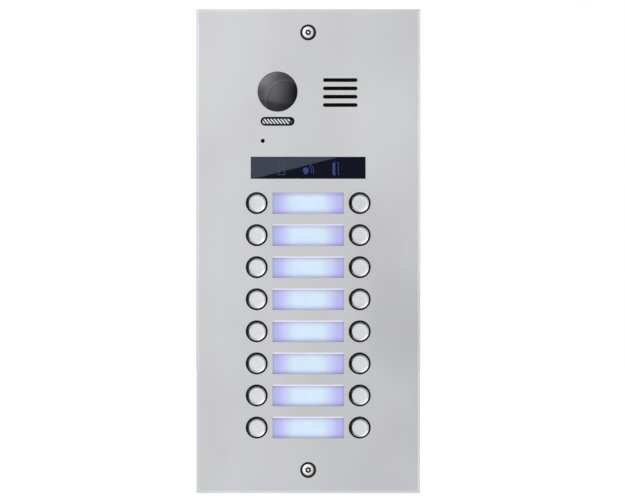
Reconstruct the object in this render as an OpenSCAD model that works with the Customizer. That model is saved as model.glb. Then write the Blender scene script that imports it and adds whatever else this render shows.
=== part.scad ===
// Door intercom panel: a flush-mounted stainless door station with a camera, a speaker, a microphone,
// a status window and sixteen call buttons beside eight lit name windows.
// The wall surface is the plane y = 0. The front faces -Y, +X is to the right and +Z is up.
// The origin is the middle of the wall opening, in the plane where the gasket meets the wall.

/* [Front plate] */
// Width of the plate
plate_w = 148; // [146:1:170]
// Height of the plate
plate_h = 320; // [318:1:360]
// Thickness of the plate
plate_t = 3; // [2.5:0.1:4]
// Width of the bevel round the front edge
plate_bevel = 1.8; // [0.5:0.1:2.5]
// Thickness of the gasket between the plate and the wall
gasket_t = 1.5; // [1:0.1:3]

/* [Call buttons] */
// Distance from the middle of the plate to a button column
button_x = 34; // [34:0.5:38]
// Height of the first row above the middle of the plate
first_row_z = 31.8; // [30:0.1:33]
// Distance from row to row
row_pitch = 21.18; // [20:0.01:21.4]
// Diameter of a button hole in the plate
button_hole_d = 14.4; // [13.6:0.1:14.6]
// How far a button moves when it is pressed
button_travel = 0.8; // [0.4:0.1:0.8]
// How far a button stands out of the plate
button_proud = 1.7; // [1:0.1:2.5]

/* [Name windows] */
// Width of a name window
label_w = 46.8; // [40:0.1:47]
// Height of a name window
label_h = 14; // [10:0.1:14.2]

/* [Camera, lamp and microphone] */
// Distance of the camera from the middle of the plate
camera_x = -20.2; // [-22:0.1:-20]
// Height of the camera above the middle of the plate
camera_z = 105.4; // [105:0.1:108]
// Diameter of the camera opening
camera_hole_d = 26.4; // [24:0.1:26.6]
// How far the camera dome stands out of the plate
dome_proud = 4.5; // [3:0.1:6]
// Height of the lamp above the middle of the plate
lamp_z = 85.8; // [85:0.1:85.8]
// Width of the lamp opening
lamp_w = 22.4; // [18:0.1:23]
// Height of the lamp opening
lamp_h = 5.8; // [4.5:0.1:5.8]
// Distance of the microphone from the middle of the plate
microphone_x = -30; // [-34:0.1:-26]
// Height of the microphone above the middle of the plate
microphone_z = 72.9; // [72:0.1:75]

/* [Speaker] */
// Distance of the speaker from the middle of the plate
speaker_x = 21.2; // [20:0.1:26]
// Height of the speaker above the middle of the plate
speaker_z = 104.8; // [102:0.1:107]
// Number of sound slots
sound_slots = 4; // [2:1:4]
// Width of a sound slot
sound_slot_w = 22.7; // [16:0.1:23]
// Height of a sound slot
sound_slot_h = 2.4; // [1.5:0.1:3]
// Distance from slot to slot
sound_slot_pitch = 5.5; // [5:0.1:6]

/* [Status window] */
// Width of the status window
status_w = 75.8; // [60:0.1:80]
// Height of the status window
status_h = 14.5; // [13:0.1:16]
// Height of the status window above the middle of the plate
status_z = 55.1; // [54.5:0.1:55.5]

/* [Rear housing] */
// Width of the rear cover
cover_w = 118; // [118:0.5:119]
// Height of the rear cover
cover_h = 262; // [262:1:264]
// How far the deep part of the cover goes into the wall
cover_depth = 34; // [33:0.5:45]
// How far the shallow part behind the terminals goes into the wall
shallow_depth = 26.5; // [26.5:0.1:26.8]
// Wall of the cover
cover_wall = 2.5; // [2:0.1:2.5]

/* [Fixing screws] */
// Distance between the two fixing screws
fixing_pitch = 289; // [288:0.5:291]
// Diameter of the fixing thread
fixing_d = 4; // [3.5:0.1:4]
// How far a fixing screw reaches behind the wall plane
fixing_reach = 22; // [12:1:30]

/* [Hidden] */

$fn = 64;
// overlap that makes a cut run cleanly past a face
cut = 1;

// planes of the front plate and of the parts behind it, from front to back
plate_back = -gasket_t;
plate_front = plate_back - plate_t;
inset = 0.3;
chassis_t = 3;
board_t = 1.6;
board_y = 9;
main_y = 19;
main_back = main_y + board_t;

// heights of the button rows, from the top
button_rows = 8;
rows = [for (i = [0:button_rows - 1]) first_row_z - i * row_pitch];
sides = [-1, 1];

// button cap, guide and switch
cap_r = button_hole_d / 2 - 0.9;
cap_wall = 0.9;
cap_front = plate_front - button_proud;
cap_rim_r = 0.1;
dish_slope = 33;
dish_flat_r = 0.8 * cap_r;
dish_depth = (cap_r - cap_rim_r - dish_flat_r) * tan(dish_slope);
cap_roof = cap_front + dish_depth + cap_wall;
skirt_end = 1.2;
bezel_inset = 1.2;
bezel_flange_r = 8.2;
bezel_r = 7.5;
bezel_bore_r = cap_r + 0.2;
seat_y = chassis_t;
guide_back = seat_y + 1.5;
stem_r = 2;
stem_bore_r = stem_r + 0.08;
snap_r = 2.9;
snap_gap = 0.05;
snap_t = 0.65;
stem_end = guide_back + snap_gap + snap_t;
plunger_y = stem_end + button_travel + 0.1;
switch_y = plunger_y + 0.5;
switch_w = 6;
plunger_r = 1.5;

// return spring of a button
spring_wire_r = 0.25;
spring_mean_r = 4.2;
spring_turns = 3;
spring_steps = 10;
spring_sides = 4;

// name windows, cards and diffusers
label_flange = 1.9;
label_flange_t = 0.9;
card_t = 0.3;
diffuser_back = 2.2;
well_wall = 1.5;
led_w = 3;
led_t = 0.8;

// camera dome and its gimbal
dome_r = camera_hole_d / 2 - 0.2;
dome_wall = 1.5;
dome_ball_r = (dome_r * dome_r + dome_proud * dome_proud) / (2 * dome_proud);
dome_centre_y = plate_front - dome_proud + dome_ball_r;
dome_flange_r = 15.6;
gimbal_y = 7;
frame_outer = 30;
frame_inner = 24.8;
frame_depth = 8;
yoke_outer = 22;
yoke_inner = 16.8;
yoke_depth = 5;
pan_pin_r = 1.5;
pan_pin_end = 14.2;
tilt_pin_r = 1.2;
tilt_pin_end = 10.6;
pivot_gap = 0.05;
housing_w = 14;
housing_depth = 12;
barrel_r = 4.5;
barrel_l = 5;
lens_r = 3.2;
lens_t = 1.6;

// lamp
lamp_bars = 9;
lamp_bar_pitch = lamp_w / 10;
lamp_bar_w = 0.53 * lamp_bar_pitch;
lamp_bar_lean = 40;
lamp_bars_off = 0.87;
last_bar_low = 0.1;
lamp_field_w = lamp_w - 2.4;
lamp_field_h = lamp_h - 2.6;
lamp_flange = 0.7;
lamp_guide_t = 1.6;
lamp_board_t = 1.2;

// speaker
speaker_r = 18;
speaker_bore_r = 15.2;
mesh_t = 0.4;
magnet_y = 10.5;
magnet_t = 6;
magnet_r = 9;
cone_y = 0.5;
cone_depth = 6;
cone_t = 0.5;

// microphone
boot_r = 5;
capsule_r = 3;
sound_port_r = 1.3;

// status window
icon_pitch = 18;
icons = [-icon_pitch, 0, icon_pitch];
icon_guide_w = 10.6;
icon_guide_h = 9.6;
status_flange = 3;

// posts, spacers and screws that hold the boards
post_x = 49;
board_post_z = [-119, -40, 40];
top_post_z = 119;
post_r = 3;
thread_r = 1.45;
thread_bore_r = 1.5;
board_half_w = 53;
chassis_w = cover_w - 2 * cover_wall - 2;
chassis_h = cover_h - 2 * cover_wall - 2;

// rear cover, its ears and the studs through them
ear_z = [-112, 0, 112];
ear_x = cover_w / 2 + 3.4;
ear_r = 4.3;
ear_t = 2.5;
stud_r = 1.5;
stud_end = 6;
nut_flats = 5.5;
nut_t = 2.4;
step_z = -66;
cover_corner = 5;
seal_side = 5.5;
seal_end = 8;

// terminals and settings behind the shallow part of the cover
service_z = -96;
poles = 8;
pole_pitch = 5.08;
terminal_w = poles * pole_pitch;
terminal_d = 12.6;
terminal_back = 34;
wire_way = 3.4;
wire_y = 29.3;
terminal_well_y = 31.6;
terminal_well_r = 2;
code_x = -34;
code_w = 6.7;
code_h = 9.9;
code_back = 27;
slider_pitch = 2.54;
slider_w = 1.4;
slider_h = 1.3;
slider_travel = 2;
track_gap = 0.15;
track_floor = 26.2;
trimmer_x = 34;
trimmer_w = 6.8;
trimmer_face = 23.8;
rotor_r = 2.4;
rotor_back = 27.5;

// fixing screws
head_r = 4.25;
head_t = 2.2;
head_back = plate_front + 1.6;
counterbore_r = 5.25;
seal_front = head_back - 1.1;
neck_r = fixing_d / 2 - 0.45;
retainer_r = 4.2;
retainer_t = 1;
recess_depth = 1.5;

// A flat outline drawn in x and z, as thick as the space from y0 to y1
module slab(y0, y1) {
    translate([0, y1, 0])
        rotate([90, 0, 0])
            linear_extrude(y1 - y0)
                children();
}

// A round rod along y
module rod(x, z, r, y0, y1) {
    translate([x, y1, z])
        rotate([90, 0, 0])
            cylinder(h = y1 - y0, r = r);
}

// A body turned about the y axis through (x, z), from points [radius, y]
module turned(x, z, outline) {
    translate([x, 0, z])
        rotate([90, 0, 0])
            rotate_extrude()
                polygon([for (p = outline) [p[0], -p[1]]]);
}

module box_at(x, z, w, h, y0, y1) {
    translate([x - w / 2, y0, z - h / 2])
        cube([w, y1 - y0, h]);
}

module rounded(w, h, r) {
    square([w - 2 * r, h], center = true);
    square([w, h - 2 * r], center = true);
    for (i = sides, j = sides)
        translate([i * (w / 2 - r), j * (h / 2 - r)])
            circle(r);
}

module stadium(w, h) {
    square([w - h, h], center = true);
    for (i = sides)
        translate([i * (w - h) / 2, 0])
            circle(d = h);
}

// A plate with a bevel along its four front edges
module bevelled_plate(w, h, y0, y1, bevel) {
    drop = bevel * 0.6;
    intersection() {
        translate([0, 0, -h / 2])
            linear_extrude(h)
                polygon([
                    [-w / 2, y1], [-w / 2, y0 + drop], [-w / 2 + bevel, y0],
                    [w / 2 - bevel, y0], [w / 2, y0 + drop], [w / 2, y1]
                ]);
        translate([-w / 2, 0, 0])
            rotate([90, 0, 90])
                linear_extrude(w)
                    polygon([
                        [y1, -h / 2], [y0 + drop, -h / 2], [y0, -h / 2 + bevel],
                        [y0, h / 2 - bevel], [y0 + drop, h / 2], [y1, h / 2]
                    ]);
    }
}

module sound_slot_outlines() {
    for (i = [0:sound_slots - 1])
        translate([speaker_x, speaker_z + ((sound_slots - 1) / 2 - i) * sound_slot_pitch])
            stadium(sound_slot_w, sound_slot_h);
}

module front_plate() {
    color([0.78, 0.79, 0.81])
        difference() {
            bevelled_plate(plate_w, plate_h, plate_front, plate_back, plate_bevel);
            slab(plate_front - cut, plate_back + cut) {
                for (s = sides, z = rows)
                    translate([s * button_x, z])
                        circle(d = button_hole_d);
                for (z = rows)
                    translate([0, z])
                        square([label_w, label_h], center = true);
                translate([camera_x, camera_z])
                    circle(d = camera_hole_d);
                translate([camera_x, lamp_z])
                    stadium(lamp_w, lamp_h);
                translate([microphone_x, microphone_z])
                    circle(sound_port_r);
                translate([0, status_z])
                    square([status_w, status_h], center = true);
                sound_slot_outlines();
            }
            for (s = sides) {
                rod(0, s * fixing_pitch / 2, fixing_d / 2 + 0.25, plate_front - cut, plate_back + cut);
                rod(0, s * fixing_pitch / 2, counterbore_r, plate_front - cut, head_back);
            }
        }
}

module perimeter_gasket() {
    color([0.1, 0.1, 0.1])
        slab(plate_back, 0)
            difference() {
                square([plate_w - 2, plate_h - 2], center = true);
                square([plate_w - 2 - 2 * seal_side, plate_h - 2 - 2 * seal_end], center = true);
            }
}

module weld_studs() {
    color([0.72, 0.6, 0.35])
        for (s = sides, z = ear_z)
            rod(s * ear_x, z, stud_r, plate_back, stud_end);
}

module cover_nuts() {
    color([0.75, 0.75, 0.76])
        for (s = sides, z = ear_z)
            difference() {
                translate([s * ear_x, plate_back + ear_t + nut_t, z])
                    rotate([90, 0, 0])
                        cylinder(h = nut_t, d = nut_flats / cos(30), $fn = 6);
                rod(s * ear_x, z, stud_r + pivot_gap, plate_back, stud_end + cut);
            }
}

module cover_outline(inset_by) {
    rounded(cover_w - 2 * inset_by, cover_h - 2 * inset_by, cover_corner - inset_by);
}

// The part of the cover's outline above the step, moved up by lift
module deep_outline(inset_by, lift) {
    intersection() {
        cover_outline(inset_by);
        translate([-cover_w / 2, step_z + lift])
            square([cover_w, cover_h]);
    }
}

module rear_cover() {
    vents = 5;
    vent_pitch = 5;
    vent_z = 92;
    rib_x = [-42, -14, 14, 42];
    rib_t = 1.6;
    color([0.13, 0.13, 0.14])
        difference() {
            union() {
                slab(plate_back, shallow_depth)
                    cover_outline(0);
                slab(shallow_depth - cut, cover_depth)
                    deep_outline(0, 0);
                for (s = sides, z = ear_z) {
                    rod(s * ear_x, z, ear_r, plate_back, plate_back + ear_t);
                    box_at(s * (ear_x - ear_r / 2 - 0.6), z, ear_r + 1.2, 2 * ear_r,
                           plate_back, plate_back + ear_t);
                }
            }
            slab(plate_back - cut, shallow_depth - cover_wall)
                cover_outline(cover_wall);
            slab(shallow_depth - cover_wall - cut, cover_depth - cover_wall)
                deep_outline(cover_wall, cover_wall);
            for (s = sides, z = ear_z)
                rod(s * ear_x, z, stud_r + 0.15, plate_back - cut, plate_back + ear_t + cut);
            // shallow panels between upright ribs on the back
            slab(cover_depth - 0.8, cover_depth + cut)
                for (i = [0:len(rib_x) - 2])
                    translate([(rib_x[i] + rib_x[i + 1]) / 2, 32])
                        rounded(rib_x[i + 1] - rib_x[i] - 2 * rib_t, 168, 3);
            // sound and heat vents
            slab(cover_depth - cover_wall - cut, cover_depth + cut)
                for (s = sides, i = [0:vents - 1])
                    translate([s * 28, vent_z - i * vent_pitch])
                        stadium(18, 2);
            // windows for the terminals, the code switches and the volume trimmer
            box_at(0, service_z, terminal_w + 1.6, terminal_d + 1.6, main_y, shallow_depth + cut);
            box_at(code_x, service_z, code_w + 0.8, code_h + 0.8, main_y, shallow_depth + cut);
            rod(trimmer_x, service_z, rotor_r + 0.8, main_y, shallow_depth + cut);
        }
}

// Six-lobed recess with a pin left standing in the middle
module tamper_recess(y0) {
    lobe_circle = 1.55;
    lobe_r = 0.5;
    pin_r = 0.75;
    slab(y0 - cut, y0 + recess_depth)
        difference() {
            union() {
                circle(lobe_circle);
                for (i = [0:5])
                    rotate(60 * i)
                        translate([lobe_circle, 0])
                            circle(lobe_r);
            }
            circle(pin_r);
        }
}

module fixing_screw(z) {
    head_front = head_back - head_t;
    dome = 0.7;
    difference() {
        turned(0, z, [
            [0, head_front], [head_r * 0.55, head_front + dome * 0.16],
            [head_r * 0.8, head_front + dome * 0.45], [head_r, head_front + dome * 1.2],
            [head_r, head_back], [neck_r, head_back], [neck_r, 2], [fixing_d / 2, 2.5],
            [fixing_d / 2, fixing_reach - 1], [fixing_d / 2 - 0.8, fixing_reach], [0, fixing_reach]
        ]);
        translate([0, 0, z])
            tamper_recess(head_front + 0.3);
    }
}

module fixing_screws() {
    color([0.82, 0.82, 0.83])
        for (s = sides)
            fixing_screw(s * fixing_pitch / 2);
}

// A rubber ring in the counterbore round each screw head, and the washer behind the plate that keeps
// the screw in it
module screw_retainers() {
    color([0.06, 0.06, 0.06])
        for (s = sides) {
            difference() {
                rod(0, s * fixing_pitch / 2, retainer_r, plate_back, plate_back + retainer_t);
                rod(0, s * fixing_pitch / 2, neck_r + 0.07, plate_back - cut, plate_back + retainer_t + cut);
            }
            difference() {
                rod(0, s * fixing_pitch / 2, counterbore_r - 0.03, seal_front, head_back);
                rod(0, s * fixing_pitch / 2, head_r + 0.05, seal_front - cut, head_back + cut);
            }
        }
}

module camera_window() {
    color([0.06, 0.06, 0.08])
        difference() {
            union() {
                intersection() {
                    translate([camera_x, dome_centre_y, camera_z])
                        sphere(dome_ball_r);
                    rod(camera_x, camera_z, dome_r, plate_front - dome_proud - cut, 0);
                }
                rod(camera_x, camera_z, dome_flange_r, plate_back, 0);
            }
            intersection() {
                translate([camera_x, dome_centre_y, camera_z])
                    sphere(dome_ball_r - dome_wall);
                rod(camera_x, camera_z, dome_r - dome_wall, plate_front - dome_proud - cut, cut);
            }
        }
}

// A square ring in x and z
module square_ring(outer, inner, y0, y1) {
    difference() {
        box_at(camera_x, camera_z, outer, outer, y0, y1);
        box_at(camera_x, camera_z, inner, inner, y0 - cut, y1 + cut);
    }
}

module upright_pin(r, z0, z1) {
    translate([camera_x, gimbal_y, z0])
        cylinder(h = z1 - z0, r = r);
}

module level_pin(r, x0, x1) {
    translate([x0, gimbal_y, camera_z])
        rotate([0, 90, 0])
            cylinder(h = x1 - x0, r = r);
}

module camera_mount_frame() {
    color([0.16, 0.16, 0.17])
        difference() {
            square_ring(frame_outer, frame_inner, chassis_t, chassis_t + frame_depth);
            upright_pin(pan_pin_r + pivot_gap, camera_z - frame_outer, camera_z + frame_outer);
        }
}

module camera_yoke() {
    color([0.2, 0.2, 0.22])
        difference() {
            union() {
                square_ring(yoke_outer, yoke_inner, gimbal_y - yoke_depth / 2, gimbal_y + yoke_depth / 2);
                upright_pin(pan_pin_r, camera_z + yoke_inner / 2 + 0.5, camera_z + pan_pin_end);
                upright_pin(pan_pin_r, camera_z - pan_pin_end, camera_z - yoke_inner / 2 - 0.5);
            }
            level_pin(tilt_pin_r + pivot_gap, camera_x - yoke_outer, camera_x + yoke_outer);
        }
}

module camera_housing() {
    housing_front = gimbal_y - housing_depth / 2;
    color([0.08, 0.08, 0.09])
        difference() {
            union() {
                box_at(camera_x, camera_z, housing_w, housing_w, housing_front,
                       housing_front + housing_depth);
                rod(camera_x, camera_z, barrel_r, housing_front - barrel_l, housing_front + cut);
                level_pin(tilt_pin_r, camera_x - tilt_pin_end, camera_x + tilt_pin_end);
            }
            rod(camera_x, camera_z, lens_r + pivot_gap, housing_front - barrel_l - cut,
                housing_front - 1);
        }
}

module camera_lens() {
    lens_front = gimbal_y - housing_depth / 2 - barrel_l + 0.6;
    bulge = 0.4;
    color([0.3, 0.35, 0.5])
        turned(camera_x, camera_z, [
            [0, lens_front - bulge], [lens_r * 0.6, lens_front - bulge * 0.64], [lens_r, lens_front],
            [lens_r, lens_front + lens_t], [0, lens_front + lens_t]
        ]);
}

module camera_board() {
    board_front = gimbal_y + housing_depth / 2;
    color([0.05, 0.3, 0.15])
        box_at(camera_x, camera_z, housing_w - 1, housing_w - 1, board_front, board_front + 1.2);
}

// One leaning bar, from the height low to above the lamp's bright field, wider by grow all round
module lamp_bar(low, grow) {
    high = lamp_field_h;
    reach = lamp_bar_w / 2 + grow / cos(lamp_bar_lean);
    slope = tan(lamp_bar_lean);
    polygon([
        [-reach - slope * high, high], [reach - slope * high, high],
        [reach - slope * low, low], [-reach - slope * low, low]
    ]);
}

// The bars across the lamp's bright field. The last one is short, as the light sensor sits under it
module lamp_bar_rods(y0, y1, grow) {
    intersection() {
        slab(y0, y1)
            for (i = [1:lamp_bars])
                translate([camera_x - lamp_bars_off + (i - (lamp_bars + 1) / 2) * lamp_bar_pitch, lamp_z])
                    lamp_bar(i < lamp_bars ? -lamp_field_h : last_bar_low - grow, grow);
        slab(y0 - cut, y1 + cut)
            translate([camera_x, lamp_z])
                stadium(lamp_field_w + 2 * grow, lamp_field_h + 2 * grow);
    }
}

module lamp_mask() {
    color([0.07, 0.07, 0.08])
        difference() {
            union() {
                slab(plate_front + inset, plate_back)
                    translate([camera_x, lamp_z])
                        stadium(lamp_w - 0.3, lamp_h - 0.3);
                slab(plate_back, 0)
                    translate([camera_x, lamp_z])
                        stadium(lamp_w + 2 * lamp_flange, lamp_h + 2 * lamp_flange);
            }
            lamp_bar_rods(plate_front - cut, cut, pivot_gap);
        }
}

module lamp_light_guide() {
    color([0.92, 0.95, 1])
        union() {
            lamp_bar_rods(plate_front + inset / 2, cut, 0);
            slab(0, lamp_guide_t)
                translate([camera_x, lamp_z])
                    stadium(lamp_w + 1, lamp_h + 0.8);
        }
}

module lamp_board() {
    color([0.9, 0.9, 0.88])
        box_at(camera_x, lamp_z, lamp_w + 4, lamp_h + 2.2, chassis_t, chassis_t + lamp_board_t);
}

module speaker_mesh() {
    color([0.05, 0.05, 0.05])
        rod(speaker_x, speaker_z, speaker_r - 1, plate_back, plate_back + mesh_t);
}

module speaker_gasket() {
    color([0.15, 0.15, 0.15])
        difference() {
            rod(speaker_x, speaker_z, speaker_r, plate_back + mesh_t, 0);
            rod(speaker_x, speaker_z, speaker_bore_r + 0.4, plate_back, cut);
        }
}

module speaker_frame() {
    color([0.35, 0.35, 0.36])
        turned(speaker_x, speaker_z, [
            [speaker_bore_r, 0], [speaker_r, 0], [speaker_r, 1.5], [speaker_bore_r + 0.8, 1.5],
            [magnet_r + 2, magnet_y - 1.5], [magnet_r + 2, magnet_y], [0, magnet_y],
            [0, magnet_y - 1], [magnet_r + 1, magnet_y - 1], [magnet_r + 1, magnet_y - 2],
            [speaker_bore_r, 1.5]
        ]);
}

module speaker_cone() {
    dust_cap_r = 4;
    color([0.22, 0.22, 0.23])
        turned(speaker_x, speaker_z, [
            [0, cone_y + cone_depth - 2], [dust_cap_r * 0.6, cone_y + cone_depth - 1.6],
            [dust_cap_r, cone_y + cone_depth - 0.6], [speaker_bore_r - 1.5, cone_y],
            [speaker_bore_r - 0.1, cone_y - 0.4], [speaker_bore_r - 0.1, cone_y - 0.4 + cone_t],
            [speaker_bore_r - 1.5, cone_y + cone_t], [dust_cap_r, cone_y + cone_depth],
            [0, cone_y + cone_depth - 1]
        ]);
}

module speaker_magnet() {
    color([0.3, 0.3, 0.32])
        rod(speaker_x, speaker_z, magnet_r, magnet_y, magnet_y + magnet_t);
}

module microphone_boot() {
    color([0.1, 0.1, 0.1])
        turned(microphone_x, microphone_z, [
            [sound_port_r, plate_back], [boot_r, plate_back], [boot_r, chassis_t + 0.5],
            [capsule_r, chassis_t + 0.5], [capsule_r, 0.5], [sound_port_r, 0.5]
        ]);
}

module microphone_capsule() {
    color([0.7, 0.7, 0.72])
        rod(microphone_x, microphone_z, capsule_r - 0.02, 0.5, 2.7);
}

module status_window() {
    color([0.05, 0.06, 0.1])
        union() {
            box_at(0, status_z, status_w - 0.3, status_h - 0.3, plate_front + 0.1, 0);
            box_at(0, status_z, status_w + 2 * status_flange, status_h + 2 * status_flange - 0.5,
                   plate_back, 0);
        }
}

module status_icon_guides() {
    color([0.8, 0.88, 1])
        for (x = icons)
            box_at(x, status_z, icon_guide_w, icon_guide_h, 0, board_y - 2);
}

module label_windows() {
    color([0.84, 0.86, 1])
        for (z = rows) {
            box_at(0, z, label_w - 0.3, label_h - 0.3, plate_front + inset, plate_back + label_flange_t);
            box_at(0, z, label_w + 2 * label_flange, label_h + 2 * label_flange, plate_back,
                   plate_back + label_flange_t);
        }
}

module label_cards() {
    card_y = plate_back + label_flange_t;
    color([0.95, 0.96, 1])
        for (z = rows)
            box_at(0, z, label_w, label_h, card_y, card_y + card_t);
}

module label_diffusers() {
    diffuser_y = plate_back + label_flange_t + card_t;
    color([0.9, 0.92, 1])
        for (z = rows)
            box_at(0, z, label_w - 0.6, label_h - 0.6, diffuser_y, diffuser_back);
}

module led_chips() {
    leds_per_label = 3;
    label_led_pitch = 14;
    lamp_led_pitch = 5;
    color([1, 1, 0.85]) {
        for (z = rows, i = [0:leds_per_label - 1])
            box_at((i - 1) * label_led_pitch, z, led_w, led_w, board_y - led_t, board_y);
        for (x = icons)
            box_at(x, status_z, led_w, led_w, board_y - led_t, board_y);
        for (i = [-1:1])
            box_at(camera_x + i * lamp_led_pitch, lamp_z, led_w, led_w, chassis_t - led_t, chassis_t);
    }
}

module button_bezels() {
    color([0.05, 0.05, 0.05])
        for (s = sides, z = rows)
            turned(s * button_x, z, [
                [bezel_bore_r, plate_front + bezel_inset],
                [button_hole_d / 2 - 0.05, plate_front + bezel_inset],
                [button_hole_d / 2 - 0.05, plate_back], [bezel_flange_r, plate_back],
                [bezel_flange_r, 0], [bezel_r, 0], [bezel_r, guide_back], [stem_bore_r, guide_back],
                [stem_bore_r, seat_y], [bezel_bore_r, seat_y]
            ]);
}

// A coil spring along y, swept from rings of points
module coil_spring(x, z, y0, y1) {
    steps = spring_turns * spring_steps;
    points = [
        for (i = [0:steps])
            let (turn = 360 * i / spring_steps, y = y0 + (y1 - y0) * i / steps)
                for (k = [0:spring_sides - 1])
                    let (
                        a = 360 * k / spring_sides,
                        r = spring_mean_r + spring_wire_r * cos(a)
                    )
                        [x + r * cos(turn), y + spring_wire_r * sin(a), z + r * sin(turn)]
    ];
    walls = [
        for (i = [0:steps - 1], k = [0:spring_sides - 1])
            let (
                a = i * spring_sides + k,
                b = i * spring_sides + (k + 1) % spring_sides
            )
                [a, b, b + spring_sides, a + spring_sides]
    ];
    ends = [
        [for (k = [spring_sides - 1:-1:0]) k],
        [for (k = [0:spring_sides - 1]) steps * spring_sides + k]
    ];
    polyhedron(points, concat(walls, ends), convexity = 4);
}

module button_springs() {
    seat_gap = spring_wire_r + 0.02;
    color([0.7, 0.7, 0.72])
        for (s = sides, z = rows)
            coil_spring(s * button_x, z, cap_roof + seat_gap, seat_y - seat_gap);
}

module button_switches() {
    color([0.12, 0.12, 0.12])
        for (s = sides, z = rows) {
            box_at(s * button_x, z, switch_w, switch_w, switch_y, board_y);
            rod(s * button_x, z, plunger_r, plunger_y, switch_y + 0.2);
        }
}

// The light-tight wall round one lit window, behind the chassis
module light_well(x, z, w, h) {
    difference() {
        box_at(x, z, w + 2 * well_wall, h + 2 * well_wall, chassis_t / 2, board_y);
        box_at(x, z, w, h, -cut, board_y + cut);
    }
}

module chassis() {
    color([0.85, 0.85, 0.83])
        difference() {
            union() {
                difference() {
                    slab(0, chassis_t)
                        rounded(chassis_w, chassis_h, cover_corner - cover_wall);
                    slab(-cut, chassis_t + cut) {
                        for (s = sides, z = rows)
                            translate([s * button_x, z])
                                circle(bezel_r + 0.1);
                        for (z = rows)
                            translate([0, z])
                                square([label_w, label_h], center = true);
                        for (x = icons)
                            translate([x, status_z])
                                square([icon_guide_w + 0.4, icon_guide_h + 0.4], center = true);
                        translate([camera_x, camera_z])
                            square(frame_inner, center = true);
                        translate([camera_x, lamp_z])
                            stadium(lamp_w + 1.6, lamp_h + 1.2);
                        translate([microphone_x, microphone_z])
                            circle(boot_r + 0.1);
                        translate([speaker_x, speaker_z])
                            circle(speaker_r + 0.3);
                    }
                }
                for (z = rows)
                    light_well(0, z, label_w, label_h);
                for (x = icons)
                    light_well(x, status_z, icon_guide_w + 0.4, icon_guide_h + 0.4);
                for (s = sides) {
                    for (z = board_post_z)
                        rod(s * post_x, z, post_r, plate_back, board_y);
                    rod(s * post_x, top_post_z, post_r, plate_back, main_y);
                }
            }
            for (s = sides) {
                for (z = board_post_z)
                    rod(s * post_x, z, thread_bore_r, 1, board_y + cut);
                rod(s * post_x, top_post_z, thread_bore_r, main_y - 8, main_y + cut);
            }
        }
}

module button_board() {
    board_top = status_z + 9;
    board_bottom = -chassis_h / 2 + 1.5;
    color([0.05, 0.32, 0.16])
        difference() {
            box_at(0, (board_top + board_bottom) / 2, 2 * board_half_w, board_top - board_bottom,
                   board_y, board_y + board_t);
            for (s = sides, z = board_post_z)
                rod(s * post_x, z, thread_r + 0.15, board_y - cut, board_y + board_t + cut);
        }
}

// The main circuit board with its soldered parts as one piece
module main_board() {
    header_y = board_y + board_t;
    color([0.05, 0.32, 0.16])
        difference() {
            union() {
                box_at(0, 0, 2 * board_half_w, chassis_h - 3, main_y, main_back);
                // header that plugs the button board in
                box_at(30, -30, 20, 5, header_y, main_y + board_t / 2);
                // lock relay
                box_at(34, 30, 15, 20, main_back - board_t / 2, main_back + 9);
                // processor
                box_at(-10, 20, 18, 18, main_back - board_t / 2, main_back + 1.4);
                // smoothing capacitors
                for (z = [-20, 0, 20])
                    rod(-40, z, 4, main_back - board_t / 2, main_back + 9);
            }
            for (s = sides, z = concat(board_post_z, [top_post_z]))
                rod(s * post_x, z, thread_r + 0.15, main_y - cut, main_back + cut);
        }
}

module board_spacers() {
    spacer_y = board_y + board_t;
    color([0.8, 0.66, 0.3])
        for (s = sides, z = board_post_z)
            difference() {
                union() {
                    translate([s * post_x, main_y, z])
                        rotate([90, 0, 0])
                            cylinder(h = main_y - spacer_y, d = nut_flats / cos(30), $fn = 6);
                    rod(s * post_x, z, thread_r, 2, spacer_y + cut);
                }
                rod(s * post_x, z, thread_bore_r, main_y - 6, main_y + cut);
            }
}

module board_screws() {
    screw_head_r = 2.8;
    screw_head_t = 1.8;
    slot_w = 0.7;
    color([0.78, 0.78, 0.8])
        for (s = sides, z = concat(board_post_z, [top_post_z]))
            difference() {
                union() {
                    rod(s * post_x, z, screw_head_r, main_back, main_back + screw_head_t);
                    rod(s * post_x, z, thread_r, main_y - 5, main_back + cut);
                }
                for (w = [[slot_w, 3.6], [3.6, slot_w]])
                    box_at(s * post_x, z, w[0], w[1], main_back + screw_head_t / 2,
                           main_back + screw_head_t + cut);
            }
}

function pole_x(i) = (i - (poles - 1) / 2) * pole_pitch;

module terminal_block() {
    slope = 3;
    wire_depth = 8;
    bottom = service_z - terminal_d / 2;
    top = service_z + terminal_d / 2;
    color([0.12, 0.45, 0.25])
        difference() {
            translate([-terminal_w / 2, 0, 0])
                rotate([90, 0, 90])
                    linear_extrude(terminal_w)
                        polygon([
                            [main_back, bottom], [terminal_back - 2, bottom],
                            [terminal_back, bottom + slope], [terminal_back, top - 1],
                            [terminal_back - 1, top], [main_back, top]
                        ]);
            for (i = [0:poles - 1]) {
                box_at(pole_x(i), bottom + wire_depth / 2 - cut / 2, wire_way, wire_depth + cut,
                       wire_y - wire_way / 2, wire_y + wire_way / 2);
                rod(pole_x(i), service_z, terminal_well_r, terminal_well_y, terminal_back + cut);
            }
        }
}

module terminal_screws() {
    color([0.75, 0.75, 0.77])
        for (i = [0:poles - 1])
            difference() {
                rod(pole_x(i), service_z, terminal_well_r - 0.2, terminal_well_y, terminal_back - 0.6);
                box_at(pole_x(i), service_z, 2 * terminal_well_r, 0.6, terminal_back - 1.4, terminal_back);
            }
}

function slider_x(i) = code_x + (i - 0.5) * slider_pitch;

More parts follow.
